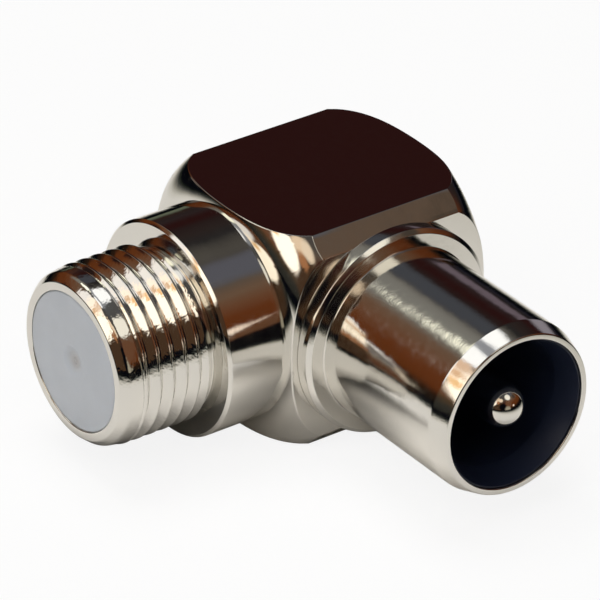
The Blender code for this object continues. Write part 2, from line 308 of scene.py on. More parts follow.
def hand_over(piece, node, material):
    """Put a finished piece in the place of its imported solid."""
    piece.data.materials.clear()
    piece.data.materials.append(material)
    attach(piece, "root")
    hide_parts(node)


# Finishes

def add_node(tree, kind, settings=None, links=None):
    """Add a node. Settings are attributes or input values, links go from sockets to its inputs."""
    node = tree.nodes.new(kind)
    for name, value in (settings or {}).items():
        if isinstance(name, str) and hasattr(node, name):
            setattr(node, name, value)
        else:
            node.inputs[name].default_value = value
    for name, socket in (links or {}).items():
        tree.links.new(socket, node.inputs[name])
    return node


def new_finish(name):
    """A material with its shader, its node tree and the piece's own coordinates."""
    material = bpy.data.materials.new(name)
    material.use_nodes = True
    tree = material.node_tree
    shader = tree.nodes["Principled BSDF"]
    place = add_node(tree, "ShaderNodeTexCoord").outputs["Object"]
    return material, tree, shader, place


# Unevenness of the plating, each wave a noise with its real width
SWELL = {"Scale": 1 / (1.6 * MM), "Detail": 1.0, "Roughness": 0.4}
ORANGE_PEEL = {"Scale": 1 / (0.42 * MM), "Detail": 2.0, "Roughness": 0.5}
TURNING_GRAIN = {"Scale": 1 / (0.09 * MM), "Detail": 2.0, "Roughness": 0.6}
CHATTER = {"Scale": 1 / (0.24 * MM), "Detail": 1.0, "Roughness": 0.5}
THREADED_MIDDLE = (RELIEF_END + NOSE_END) / 2
THREADED_HALF = (NOSE_END - RELIEF_END) / 2 - 0.05 * MM


def bright_nickel(name, swell_height, peel_height, grain_height, roughness, chatter_height=0.0):
    """Bright nickel plating on turned brass, barrel-plated with hundreds of others.

    The eye gets a warm mirror whose reflections waver: a slow swell from the tumbling, an orange
    peel from the plating, and a fine grain from turning that only shows in the highlights. Where a
    chatter height is given, the threaded nose also has the marks of its cutting tool, which break
    up the highlights on its crests.
    """
    colours = bpy.context.scene.adapter_colours
    material, tree, shader, place = new_finish(name)
    shader.inputs["Metallic"].default_value = 1.0
    shader.inputs["Base Color"].default_value = (*colours.nickel, 1.0)
    swell = add_node(tree, "ShaderNodeTexNoise", SWELL, {"Vector": place})
    peel = add_node(tree, "ShaderNodeTexNoise", ORANGE_PEEL, {"Vector": place})
    grain = add_node(tree, "ShaderNodeTexNoise", TURNING_GRAIN, {"Vector": place})
    bump = add_node(tree, "ShaderNodeBump", {"Strength": 1.0, "Distance": swell_height},
                    {"Height": swell.outputs["Fac"]})
    bump = add_node(tree, "ShaderNodeBump", {"Strength": 1.0, "Distance": peel_height},
                    {"Height": peel.outputs["Fac"], "Normal": bump.outputs["Normal"]})
    bump = add_node(tree, "ShaderNodeBump", {"Strength": 1.0, "Distance": grain_height},
                    {"Height": grain.outputs["Fac"], "Normal": bump.outputs["Normal"]})
    if chatter_height > 0.0:
        reach = add_node(tree, "ShaderNodeSeparateXYZ", None, {"Vector": place}).outputs["Y"]
        threaded = add_node(tree, "ShaderNodeMath",
                            {"operation": "COMPARE", 1: -THREADED_MIDDLE, 2: THREADED_HALF},
                            {0: reach})
        chatter = add_node(tree, "ShaderNodeTexNoise", CHATTER, {"Vector": place})
        bump = add_node(tree, "ShaderNodeBump", {"Distance": chatter_height},
                        {"Height": chatter.outputs["Fac"], "Strength": threaded.outputs["Value"],
                         "Normal": bump.outputs["Normal"]})
    tree.links.new(bump.outputs["Normal"], shader.inputs["Normal"])
    haze = add_node(tree, "ShaderNodeMapRange",
                    {"From Min": 0.35, "From Max": 0.7, "To Min": roughness * 0.75,
                     "To Max": roughness * 1.5},
                    {"Value": peel.outputs["Fac"]})
    tree.links.new(haze.outputs["Result"], shader.inputs["Roughness"])
    return material


def milk_polyethylene(name):
    """Natural polyethylene, moulded: a waxy milk white with light soaking in and faint clouds.

    Around the port's axis the eye gets a trace of brown, where the contact shows through.
    """
    colours = bpy.context.scene.adapter_colours
    material, tree, shader, place = new_finish(name)
    clouds = add_node(tree, "ShaderNodeTexNoise",
                      {"Scale": 1 / (1.4 * MM), "Detail": 3.0, "Roughness": 0.55},
                      {"Vector": place})
    tint = add_node(tree, "ShaderNodeMix", {"data_type": "RGBA"}, {0: clouds.outputs["Fac"]})
    tint.inputs[6].default_value = (*[c * 0.9 for c in colours.polyethylene], 1.0)
    tint.inputs[7].default_value = (*colours.polyethylene, 1.0)
    across = add_node(tree, "ShaderNodeVectorMath",
                      {"operation": "MULTIPLY_ADD", 1: (1.0, 0.0, 1.0),
                       2: (0.0, 0.0, -AXIS_HEIGHT)},
                      {0: place})
    off_axis = add_node(tree, "ShaderNodeVectorMath", {"operation": "LENGTH"},
                        {0: across.outputs["Vector"]})
    trace = add_node(tree, "ShaderNodeMapRange",
                     {"interpolation_type": "SMOOTHSTEP", "From Min": 0.15 * MM,
                      "From Max": 0.75 * MM, "To Min": 0.32, "To Max": 0.0},
                     {"Value": off_axis.outputs["Value"]})
    marked = add_node(tree, "ShaderNodeMix", {"data_type": "RGBA"},
                      {0: trace.outputs["Result"], 6: tint.outputs[2]})
    marked.inputs[7].default_value = (*colours.wire_mark, 1.0)
    tree.links.new(marked.outputs[2], shader.inputs["Base Color"])
    shader.inputs["Roughness"].default_value = 0.42
    shader.inputs["IOR"].default_value = 1.51
    shader.inputs["Subsurface Weight"].default_value = 0.35
    shader.inputs["Subsurface Radius"].default_value = (1.0, 0.9, 0.85)
    shader.inputs["Subsurface Scale"].default_value = 0.6 * MM
    skin = add_node(tree, "ShaderNodeTexNoise",
                    {"Scale": 1 / (0.12 * MM), "Detail": 2.0, "Roughness": 0.5},
                    {"Vector": place})
    bump = add_node(tree, "ShaderNodeBump", {"Strength": 1.0, "Distance": 0.003 * MM},
                    {"Height": skin.outputs["Fac"]})
    tree.links.new(bump.outputs["Normal"], shader.inputs["Normal"])
    return material


def black_moulding(name):
    """Black ABS, injection moulded: near black with a soft gloss and a faint spark texture."""
    colours = bpy.context.scene.adapter_colours
    material, tree, shader, place = new_finish(name)
    shader.inputs["Base Color"].default_value = (*colours.moulding, 1.0)
    shader.inputs["IOR"].default_value = 1.53
    shader.inputs["Specular IOR Level"].default_value = 0.3
    spark = add_node(tree, "ShaderNodeTexNoise",
                     {"Scale": 1 / (0.1 * MM), "Detail": 2.0, "Roughness": 0.6},
                     {"Vector": place})
    bump = add_node(tree, "ShaderNodeBump", {"Strength": 1.0, "Distance": 0.002 * MM},
                    {"Height": spark.outputs["Fac"]})
    tree.links.new(bump.outputs["Normal"], shader.inputs["Normal"])
    gloss = add_node(tree, "ShaderNodeMapRange",
                     {"From Min": 0.3, "From Max": 0.7, "To Min": 0.3, "To Max": 0.42},
                     {"Value": spark.outputs["Fac"]})
    tree.links.new(gloss.outputs["Result"], shader.inputs["Roughness"])
    return material


def contact_plating(name):
    """Bright tin-gold plating on spring brass: a warm, slightly hazy metal."""
    colours = bpy.context.scene.adapter_colours
    material, tree, shader, place = new_finish(name)
    shader.inputs["Metallic"].default_value = 1.0
    shader.inputs["Base Color"].default_value = (*colours.contact, 1.0)
    haze = add_node(tree, "ShaderNodeTexNoise",
                    {"Scale": 1 / (0.3 * MM), "Detail": 2.0, "Roughness": 0.5},
                    {"Vector": place})
    spread = add_node(tree, "ShaderNodeMapRange",
                      {"From Min": 0.3, "From Max": 0.7, "To Min": 0.18, "To Max": 0.3},
                      {"Value": haze.outputs["Fac"]})
    tree.links.new(spread.outputs["Result"], shader.inputs["Roughness"])
    return material


def finish_named(name, maker, **settings):
    """The material of that name, made the first time it is asked for."""
    return bpy.data.materials.get(name) or maker(name, **settings)


# The pieces

def end_section(reach_out, ease, start, end):
    """One rounded end of the block in a plane through the port's axis, out to the bar's surface.

    The lathe's big round runs out to the bar, and a small one eases the edge that it leaves there.
    """
    across, height = END_FACE_RADIUS, end - END_ROUND
    small_out = reach_out - ease
    small_up = height + math.sqrt((END_ROUND - ease) ** 2 - (small_out - across) ** 2)
    meet = math.degrees(math.atan2(small_up - height, small_out - across))
    big = arc(across, height, END_ROUND, start, meet, ROUND_ROWS)
    small = arc(small_out, small_up, ease, meet, 0.0, EASE_ROWS)
    return big + small[1:]


def eased_edge(ease):
    """Half-width of a flat up to its eased edge, and the angles where the ease starts and ends."""
    half_width = BAR_HALF - BAR_CHAMFER
    back = ease * math.tan(math.radians(22.5))
    flat_end = math.atan2(half_width - back, BAR_HALF)
    slope_start = math.atan2(half_width + back / math.sqrt(2), BAR_HALF - back / math.sqrt(2))
    return half_width - back, flat_end, slope_start


def bar_reach(angle, ease):
    """Distance from the port's axis to the bar's surface, with the bar's long edges eased."""
    folded = abs((angle + math.pi / 4) % (math.pi / 2) - math.pi / 4)
    slope = (2 * BAR_HALF - BAR_CHAMFER) / math.sqrt(2)
    flat_half, flat_end, slope_start = eased_edge(ease)
    if folded <= flat_end:
        return BAR_HALF / math.cos(folded)
    if folded >= slope_start:
        return slope / math.cos(folded - math.pi / 4)
    centre = Vector((BAR_HALF - ease, flat_half))
    middle = centre.dot(Vector((math.cos(folded), math.sin(folded))))
    return middle + math.sqrt(middle ** 2 - centre.length_squared + ease ** 2)


def block_sectors(ease):
    """Where the body's columns go: close together on the bar's eased edges, even elsewhere."""
    flat_end, slope_start = (math.degrees(angle) for angle in eased_edge(ease)[1:])
    edge = (3, slope_start - flat_end)
    quarter = [(30, flat_end), edge, (6, 2 * (45.0 - slope_start)), edge, (30, flat_end)]
    return quarter * 4


def turned_blank(sizes):
    """Outline of the body in three runs: the nose up to the collar, the block, the bore behind."""
    fine = sizes.turned_round
    flank = (LAND_RADIUS - ROOT_RADIUS) * math.tan(math.radians(THREAD_FLANK))
    land_front = LAND_RADIUS - LAND_SLOPE * (LAND_END - THREAD_END)
    nose = rounded([
        (PORT_BORE_RADIUS, FACE_SEAT_END, 0.0),
        (sizes.lip_radius, FACE_SEAT_END, 0.0),
        (sizes.lip_radius, NOSE_END, fine),
        (NOSE_FACE_RADIUS, NOSE_END, 2 * fine),
        (land_front, LAND_END, 8 * fine),
        (LAND_RADIUS, THREAD_END, fine),
        (ROOT_RADIUS, THREAD_END - flank, fine),
        (ROOT_RADIUS, COLLAR_END, fine),
        (COLLAR_RADIUS - COLLAR_CHAMFER, COLLAR_END, 0.6 * fine),
        (COLLAR_RADIUS, COLLAR_END - COLLAR_CHAMFER, 0.6 * fine),
        (COLLAR_RADIUS, BAR_END, 0.0),
    ])
    return nose, section_of_block(BAR_HALF, sizes.edge_round), rounded([
        (CAP_SEAT_RADIUS - 2 * sizes.seam, -REAR_END, fine / 2),
        (CAP_SEAT_RADIUS - 2 * sizes.seam, -CAP_FRONT, 0.0),
        (PORT_BORE_RADIUS, -CAP_FRONT, 0.0),
    ])


def section_of_block(reach_out, ease):
    """The block from the collar to its rear face, in one plane through the port's axis."""
    collar_start = math.degrees(math.acos((COLLAR_RADIUS - END_FACE_RADIUS) / END_ROUND))
    front = end_section(reach_out, ease, collar_start, BAR_END)
    rear = [Vector((point.x, -point.y)) for point in end_section(reach_out, ease, 90.0, REAR_END)]
    high, low = front[-1].y, rear[-1].y
    between = [Vector((reach_out, high + (low - high) * step / FLAT_ROWS))
               for step in range(1, FLAT_ROWS)]
    return front + between + rear[::-1]


def square_up(body, section, ease):
    """Move the block's turned columns out onto the square bar, each to the section it has there.

    A vertex is matched to its point of the turned section by its radius and reach, to the nearest
    tenth of a micrometre, and its column is known by its angle in thousandths of a degree.
    """
    grid, angle_grid = 1e7, 1000
    places = {(round(p.x * grid), round(p.y * grid)): index for index, p in enumerate(section)}
    columns = {}
    for vertex in body.data.vertices:
        across, up = vertex.co.x, vertex.co.z - AXIS_HEIGHT
        radius = math.hypot(across, up)
        key = (round(radius * grid), round(-vertex.co.y * grid))
        near = [(key[0] + i, key[1] + j) for i in (0, -1, 1) for j in (0, -1, 1)]
        index = next((places[k] for k in near if k in places), None)
        if index is None:
            continue
        angle = math.atan2(up, across)
        column = round(math.degrees(angle) * angle_grid)
        if column not in columns:
            columns[column] = section_of_block(bar_reach(angle, ease), ease)
        point = columns[column][index]
        vertex.co = (point.x * math.cos(angle), -point.y, AXIS_HEIGHT + point.x * math.sin(angle))


def thread_ridge(sizes):
    """The thread's ridge: its section drawn once and screwed along the port's axis."""
    half_crest = sizes.thread_crest / 2
    foot = half_crest + THREAD_DEPTH * math.tan(math.radians(THREAD_FLANK))
    sunk, low, high = (ROOT_RADIUS - RIDGE_SUNK, ROOT_RADIUS + RIDGE_FOOT,
                       ROOT_RADIUS + RIDGE_FOOT + RIDGE_FLARE)
    section = rounded([
        (sunk, -foot - RIDGE_FLARE, 0.0),
        (low, -foot - RIDGE_FLARE, 0.0),
        (high, -foot + RIDGE_FLARE, 0.0),
        (THREAD_RADIUS, -half_crest, RIDGE_CREST_ROUND),
        (THREAD_RADIUS, half_crest, RIDGE_CREST_ROUND),
        (high, foot - RIDGE_FLARE, 0.0),
        (low, foot + RIDGE_FLARE, 0.0),
        (sunk, foot + RIDGE_FLARE, 0.0),
    ], facets=3)
    # The ridge starts under the collar and ends past the land, and the blank trims both ends.
    first = RELIEF_END - 1.2 * THREAD_PITCH
    places = [along("port", radius, first + reach) for radius, reach in section]
    ridge = draw_outline("thread_ridge", places, closed=True)
    bpy.ops.mesh.select_all(action="SELECT")
    bpy.ops.transform.translate(value=(0.0, 0.0, -AXIS_HEIGHT))
    bpy.ops.object.mode_set(mode="OBJECT")
    ridge.location = (0.0, 0.0, AXIS_HEIGHT)
    turns = math.ceil(THREAD_TURNS + 2.2)
    apply_modifier(ridge, "SCREW", axis="Y", screw_offset=-THREAD_PITCH, iterations=turns,
                   steps=RIDGE_STEPS, render_steps=RIDGE_STEPS, use_merge_vertices=False)
    bpy.ops.object.transform_apply(location=True, rotation=False, scale=False)
    bpy.ops.object.mode_set(mode="EDIT")
    bpy.ops.mesh.select_all(action="DESELECT")
    bpy.ops.mesh.select_non_manifold()
    bpy.ops.mesh.fill_holes(sides=0)
    tidy_mesh()
    core, over = ROOT_RADIUS - 0.3 * MM, THREAD_RADIUS + 0.02 * MM
    start = RELIEF_END - 0.06 * MM
    trim = lathe("thread_blank", [
        Vector((core, THREAD_END + RUN_OUT)),
        Vector((LAND_RADIUS - LAND_SLOPE * RUN_OUT - UNDER_LAND, THREAD_END + RUN_OUT)),
        Vector((LAND_RADIUS - UNDER_LAND, THREAD_END)),
        Vector((over, THREAD_END - 0.16 * MM)),
        Vector((over, RELIEF_END + 0.24 * MM)),
        Vector((ROOT_RADIUS - 0.1 * MM, start)),
        Vector((core, start)),
    ], "port", steps=240)
    combine(ridge, trim, "INTERSECT")
    return ridge


class COAX_OT_body(bpy.types.Operator):
    """Turn the body from square bar: threaded nose, collar, block with rounded ends, cross bore"""
    bl_idname = "coax.body"
    bl_label = "Body"

    def execute(self, context):
        sizes = context.scene.adapter_sizes
        nose, block, inside = turned_blank(sizes)
        body = lathe("adapter_body", nose + block + inside, "port",
                     sectors=block_sectors(sizes.edge_round))
        square_up(body, block, sizes.edge_round)
        combine(body, thread_ridge(sizes), "UNION")
        narrow = PORT_BORE_RADIUS - 0.2 * MM
        bore = lathe("cross_bore", [
            Vector((0.0, 0.0)),
            Vector((narrow, 0.0)),
            Vector((narrow, SPIGOT_SEAT_FLOOR)),
            Vector((SPIGOT_SEAT_RADIUS, SPIGOT_SEAT_FLOOR)),
            Vector((SPIGOT_SEAT_RADIUS, BAR_HALF + MM)),
            Vector((0.0, BAR_HALF + MM)),
        ], "plug", steps=128)
        combine(body, bore, "DIFFERENCE")
        smooth_flats(body)
        finish = finish_named("bright_nickel_body", bright_nickel,
                              swell_height=0.010 * MM, peel_height=0.0012 * MM,
                              grain_height=0.0002 * MM, roughness=0.07,
                              chatter_height=0.009 * MM)
        hand_over(body, "body", finish)
        return {"FINISHED"}


class COAX_OT_barrel(bpy.types.Operator):
    """Turn the plug's barrel: tapered nose, thin wall, base flange, pressed spigot"""
    bl_idname = "coax.barrel"
    bl_label = "Plug barrel"

    def execute(self, context):
        sizes = context.scene.adapter_sizes
        fine = sizes.turned_round
        back = BAR_HALF + sizes.seam
        outline = rounded([
            (BARREL_BORE_RADIUS, RIM_END, fine),
            (RIM_RADIUS, RIM_END, 1.5 * fine),
            (BARREL_RADIUS, TAPER_START, 0.35 * MM),
            (BARREL_RADIUS, FLANGE_FRONT, 1.5 * fine),
            (FLANGE_RADIUS - FLANGE_CHAMFER, FLANGE_FRONT, fine),
            (FLANGE_RADIUS, FLANGE_FRONT - FLANGE_CHAMFER, fine),
            (FLANGE_RADIUS, back, fine),
            (SPIGOT_RADIUS, back, 0.0),
            (SPIGOT_RADIUS, SPIGOT_BACK, 0.0),
            (SPIGOT_BORE_RADIUS, SPIGOT_BACK, 0.0),
            (SPIGOT_BORE_RADIUS, BARREL_BORE_FLOOR, 0.0),
            (BARREL_BORE_RADIUS, BARREL_BORE_FLOOR, 0.0),
        ], facets=6)
        barrel = lathe("barrel_shell", outline, "plug", steps=256)
        smooth_flats(barrel)
        finish = finish_named("bright_nickel_barrel", bright_nickel,
                              swell_height=0.014 * MM, peel_height=0.0040 * MM,
                              grain_height=0.0016 * MM, roughness=0.08)
        hand_over(barrel, "plug_barrel", finish)
        return {"FINISHED"}


class COAX_OT_lining(bpy.types.Operator):
    """Mould the barrel's black lining: coned mouth, thin wall, floor with a low boss, tail"""
    bl_idname = "coax.lining"
    bl_label = "Barrel lining"

    def execute(self, context):
        sizes = context.scene.adapter_sizes
        fine = sizes.turned_round
        outer = BARREL_BORE_RADIUS - sizes.seam
        seat = BARREL_BORE_FLOOR + sizes.seam
        hole, tail_hole = PIN_RADIUS + sizes.seam, PIN_TAIL_RADIUS + sizes.seam
        shoulder = PIN_SHOULDER - sizes.seam
        outline = rounded([
            (LINING_RADIUS, CUP_FRONT - LEAD_IN_LENGTH, 2 * fine),
            (outer - LEAD_IN_EDGE, CUP_FRONT, fine / 2),
            (outer, CUP_FRONT, 0.0),
            (outer, seat, 0.0),
            (CUP_TAIL_RADIUS, seat, 0.0),
            (CUP_TAIL_RADIUS, CUP_BACK, fine),
            (tail_hole, CUP_BACK, 0.0),
            (tail_hole, shoulder, 0.0),
            (hole, shoulder, 0.0),
            (hole, CUP_FLOOR + CUP_BOSS_HEIGHT, fine),
            (CUP_BOSS_RADIUS, CUP_FLOOR + CUP_BOSS_HEIGHT, 2 * fine),
            (CUP_BOSS_RADIUS + 0.1 * MM, CUP_FLOOR, 2 * fine),
            (LINING_RADIUS, CUP_FLOOR, 4 * fine),
        ])
        lining = lathe("barrel_lining", outline, "plug", steps=160)
        smooth_flats(lining)
        hand_over(lining, "plug_insulator",
                  finish_named("black_abs", black_moulding))
        return {"FINISHED"}


class COAX_OT_pin(bpy.types.Operator):
    """Turn the centre pin: round tip, shank, shoulder and thin tail"""
    bl_idname = "coax.pin"
    bl_label = "Centre pin"

    def execute(self, context):
        tip = PIN_HIGH.x
        outline = [Vector((0.0, tip))]
        outline += arc(0.0, tip - PIN_RADIUS, PIN_RADIUS, 90.0, 0.0, 24)[1:]
        outline += rounded([
            (PIN_RADIUS, PIN_SHOULDER + 2 * MM, 0.0),
            (PIN_RADIUS, PIN_SHOULDER, 0.05 * MM),
            (PIN_TAIL_RADIUS, PIN_SHOULDER, 0.05 * MM),
            (PIN_TAIL_RADIUS, PIN_TAIL_END + PIN_TAIL_CHAMFER, 0.03 * MM),
            (PIN_TAIL_RADIUS - PIN_TAIL_CHAMFER, PIN_TAIL_END, 0.03 * MM),
            (0.0, PIN_TAIL_END, 0.0),
        ])
        pin = lathe("centre_pin", outline, "plug", steps=96)
        smooth(pin)
        finish = finish_named("bright_nickel_pin", bright_nickel,
                              swell_height=0.003 * MM, peel_height=0.0015 * MM,
                              grain_height=0.0003 * MM, roughness=0.1)
        hand_over(pin, "plug_pin", finish)
        return {"FINISHED"}


class COAX_OT_disc(bpy.types.Operator):
    """Mould the white disc in the port's nose, with a shallow dish and the wire's closed mark"""
    bl_idname = "coax.disc"
    bl_label = "Nose disc"

    def execute(self, context):
        sizes = context.scene.adapter_sizes
        radius = sizes.lip_radius - sizes.seam
        dish_floor = DISC_FACE - DISH_DEPTH
        mark_floor = dish_floor - WIRE_MARK_DEPTH
        outline = [Vector((0.0, mark_floor))] + rounded([
            (WIRE_MARK_RADIUS, mark_floor, 0.03 * MM),
            (WIRE_MARK_EDGE, dish_floor, 0.03 * MM),
            (0.50 * sizes.dimple_radius, dish_floor, 0.25 * MM),
            (sizes.dimple_radius, DISC_FACE, 0.4 * MM),
            (radius, DISC_FACE, 0.09 * MM),
            (radius, DISC_BACK, 0.0),
            (0.0, DISC_BACK, 0.0),
        ], facets=6)
        disc = lathe("nose_disc", outline, "port", steps=192)
        smooth(disc)
        hand_over(disc, "port_face_insulator",
                  finish_named("milk_polyethylene_disc", milk_polyethylene))
        return {"FINISHED"}


class COAX_OT_cap(bpy.types.Operator):
    """Turn the plain cap that closes the body's rear"""
    bl_idname = "coax.cap"
    bl_label = "Rear cap"

    def execute(self, context):
        sizes = context.scene.adapter_sizes
        radius = CAP_SEAT_RADIUS - 3 * sizes.seam
        outline = rounded([
            (0.0, -CAP_FRONT, 0.0),
            (radius, -CAP_FRONT, 0.0),
            (radius, -REAR_END + CAP_CHAMFER, sizes.turned_round),
            (radius - CAP_CHAMFER, -REAR_END, sizes.turned_round),
            (0.0, -REAR_END, 0.0),
        ])
        cap = lathe("end_cap", outline, "port", steps=192)
        smooth_flats(cap)
        finish = finish_named("bright_nickel_cap", bright_nickel,
                              swell_height=0.008 * MM, peel_height=0.0015 * MM,
                              grain_height=0.0003 * MM, roughness=0.12)
        hand_over(cap, "rear_cap", finish)
        return {"FINISHED"}


class COAX_OT_inner_pieces(bpy.types.Operator):
    """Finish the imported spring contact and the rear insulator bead, which stay as they are"""
    bl_idname = "coax.inner_pieces"
    bl_label = "Inner pieces"

    def execute(self, context):
        finishes = {
            "port_spring_contact": finish_named("contact_plating", contact_plating),
            "port_rear_insulator": finish_named("milk_polyethylene_bead", milk_polyethylene),
        }
        for node, finish in finishes.items():
            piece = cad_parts[node]
            for slot in piece.material_slots:
                slot.material = finish
        return {"FINISHED"}


# The studio

def towards(azimuth, elevation):
    """Unit vector of a direction, azimuth in degrees from -Y to +X."""
    a, e = math.radians(azimuth), math.radians(elevation)
    return Vector((math.sin(a) * math.cos(e), -math.cos(a) * math.cos(e), math.sin(e)))


def soft_spot(tree, direction, azimuth, elevation, spread, edge):
    """1 inside a round patch of sky around a direction, falling to 0 over its edge, in degrees."""
    dot = add_node(tree, "ShaderNodeVectorMath",
                   {"operation": "DOT_PRODUCT", 1: towards(azimuth, elevation)}, {0: direction})
    patch = add_node(tree, "ShaderNodeMapRange",
                     {"interpolation_type": "SMOOTHSTEP",
                      "From Min": math.cos(math.radians(spread + edge)),
                      "From Max": math.cos(math.radians(spread))},
                     {"Value": dot.outputs["Value"]})
    return patch.outputs["Result"]


def colour_ramp(tree, factor, bands):
    """A ramp of (position, colour) bands over a factor from 0 to 1."""
    ramp = add_node(tree, "ShaderNodeValToRGB", None, {"Fac": factor})
    stops = ramp.color_ramp.elements
    stops.remove(stops[-1])
    for index, (position, code) in enumerate(bands):
        stop = stops[0] if index == 0 else stops.new(position)
        stop.position = position
        stop.color = (*srgb(code), 1.0)
    return ramp.outputs["Color"]


def sky_ramp(tree, height, bands):
    """Colours by elevation in degrees, as a ramp over the height on a unit ball."""
    return colour_ramp(tree, height, [((math.sin(math.radians(elevation)) + 1) / 2, code)
                                      for elevation, code in bands])


# Walls of the room that the plating mirrors: elevation in degrees, colour
SIDE_WALLS = (
    (-90, "0A0C12"), (0, "14120F"), (6, "2A1C12"), (12, "603218"), (22, "65361C"),
    (31, "6C4832"), (40, "6E5644"), (50, "585048"), (60, "4C4846"), (90, "5A5A5A"),
)
BACK_WALL = (
    (-90, "0A0C12"), (0, "20202A"), (8, "26201E"), (20, "2E2424"), (28, "2C1514"),
    (32, "2C1514"), (38, "2A1F1E"), (47, "2E2624"), (55, "2A2828"), (62, "54504A"),
    (90, "6A6668"),
)
FRONT_WALL = (
    (-90, "0A0C12"), (0, "2A2A26"), (8, "36342E"), (14, "4A3A28"), (18, "6C4832"),
    (40, "6E5644"), (90, "5A5A5A"),
)
# Where the other two walls stand: azimuth, elevation, spread and soft edge in degrees
BACK_WALL_PLACE = (-148, 32, 30, 18)
FRONT_WALL_PLACE = (15, 0, 35, 20)

# Soft lights and dark places in the room: azimuth, elevation, spread and soft edge in degrees,
# colour, strength
ROOM_LIGHTS = (
    (-75, 80, 12, 8, "9A9CA2", 1.0),
    (-130, 74, 8, 6, "FFFFFF", 1.3),
    (-18, 68, 7, 5, "FFFFFF", 1.3),
    (-82, 46, 2, 17, "807E78", 1.0),
    (-66, 55, 6, 5, "F6F4E0", 1.7),
    (-58, 16, 5, 7, "241A18", 1.0),
    (-66, 3, 4, 6, "6E6964", 1.0),
    (40, 20, 20, 10, "4A3626", 1.0),
    (-30, 37, 11, 5, "F8F2EC", 1.2),
    (32, 48, 6, 6, "F0D4B4", 1.1),
    (50, 47, 5, 6, "F2DCC0", 1.1),
    (-12, 46, 9, 5, "FFF0DC", 1.4),
    (8, 31, 13, 5, "FFF2DE", 1.7),
    (35, 35, 4, 5, "B07850", 1.0),
    (-11, 54, 1, 7, "F2CCAC", 1.0),
    (-9, 44, 0, 6, "F6C89C", 1.0),
    (-6, 35, 0, 6, "FFCC8C", 1.15),
    (106, 55, 10, 5, "F0EADC", 1.25),
    (72, 34, 5, 8, "3E2620", 1.0),
    (92, 26, 10, 10, "6E4A34", 1.0),
    (62, 15, 13, 8, "0A0A0E", 1.0),
    (85, 4, 8, 8, "A8A08C", 1.0),
    (148, 57, 5, 9, "5C5C64", 1.0),
    (116, 11, 2, 3, "F0DCC8", 1.6),
    (-117, -2, 4, 7, "646A58", 1.0),
    (-137, 14, 2, 5, "6A5E66", 1.0),
    (-156, 16, 5, 7, "8E8890", 1.0),
    (-112, 43, 3, 8, "46484E", 1.0),
    (144, 37, 6, 3.5, "463E36", 1.0),
)


DOME_RADIUS = 0.6


def studio_dome():
    """A ball around the table that only reflections see: a dim warm room with soft windows."""
    deselect()
    bpy.ops.mesh.primitive_uv_sphere_add(segments=96, ring_count=48, radius=DOME_RADIUS)
    dome = bpy.context.object
    dome.name = "studio_dome"
    dome.visible_camera = False
    dome.visible_diffuse = False
    dome.visible_transmission = False
    dome.visible_shadow = False
    material, tree, shader, place = new_finish("dim_warm_room")
    tree.nodes.remove(shader)
    direction = add_node(tree, "ShaderNodeVectorMath", {"operation": "NORMALIZE"},
                         {0: place}).outputs["Vector"]
    parts = add_node(tree, "ShaderNodeSeparateXYZ", None, {"Vector": direction})
    height = add_node(tree, "ShaderNodeMapRange", {"From Min": -1.0, "From Max": 1.0},
                      {"Value": parts.outputs["Z"]}).outputs["Result"]
    room = sky_ramp(tree, height, SIDE_WALLS)
    for bands, spot in ((BACK_WALL, BACK_WALL_PLACE), (FRONT_WALL, FRONT_WALL_PLACE)):
        wall = sky_ramp(tree, height, bands)
        room = add_node(tree, "ShaderNodeMix", {"data_type": "RGBA"},
                        {0: soft_spot(tree, direction, *spot), 6: room, 7: wall}).outputs[2]
    for azimuth, elevation, spread, edge, code, strength in ROOM_LIGHTS:
        spot = soft_spot(tree, direction, azimuth, elevation, spread, edge)
        mix = add_node(tree, "ShaderNodeMix", {"data_type": "RGBA"}, {0: spot, 6: room})
        mix.inputs[7].default_value = (*[level * strength for level in srgb(code)], 1.0)
        room = mix.outputs[2]
    glow = add_node(tree, "ShaderNodeEmission", {"Strength": 1.0}, {"Color": room})
    tree.links.new(glow.outputs["Emission"], tree.nodes["Material Output"].inputs["Surface"])
    dome.data.materials.append(material)


# How much of the paper's white, as the camera sees it, doesn't depend on the lamps
PAPER_GLOW = 0.85

# The paper as reflections see it, with painted light: its colour is lit near the object and fades
# to dark beyond. Its middle and half-widths in millimetres, how many half-widths the fade runs
# over, and the fade's positions and colours
SHEET_MIDDLE = (-4.0, -8.0)
SHEET_REACH = (48.0, 40.0)
SHEET_FADE_END = 2.0
SHEET_PAINTED_LIGHT = (
    (0.35, "FFFBF4"), (0.42, "EEEAE0"), (0.5, "BCB8AC"), (0.58, "84827A"), (0.68, "444644"),
    (0.80, "2A2E26"), (0.92, "0A0C12"),
)
# Painted shadows on the paper close under the object, darkening its colour in reflections: x and y,
# inner and outer radius in millimetres, level in the middle
PAINTED_CONTACT_SHADOWS = (
    (-1.5, -12.0, 2.0, 8.0, 0.35),
    (6.0, -4.5, 1.0, 5.0, 0.6),
)


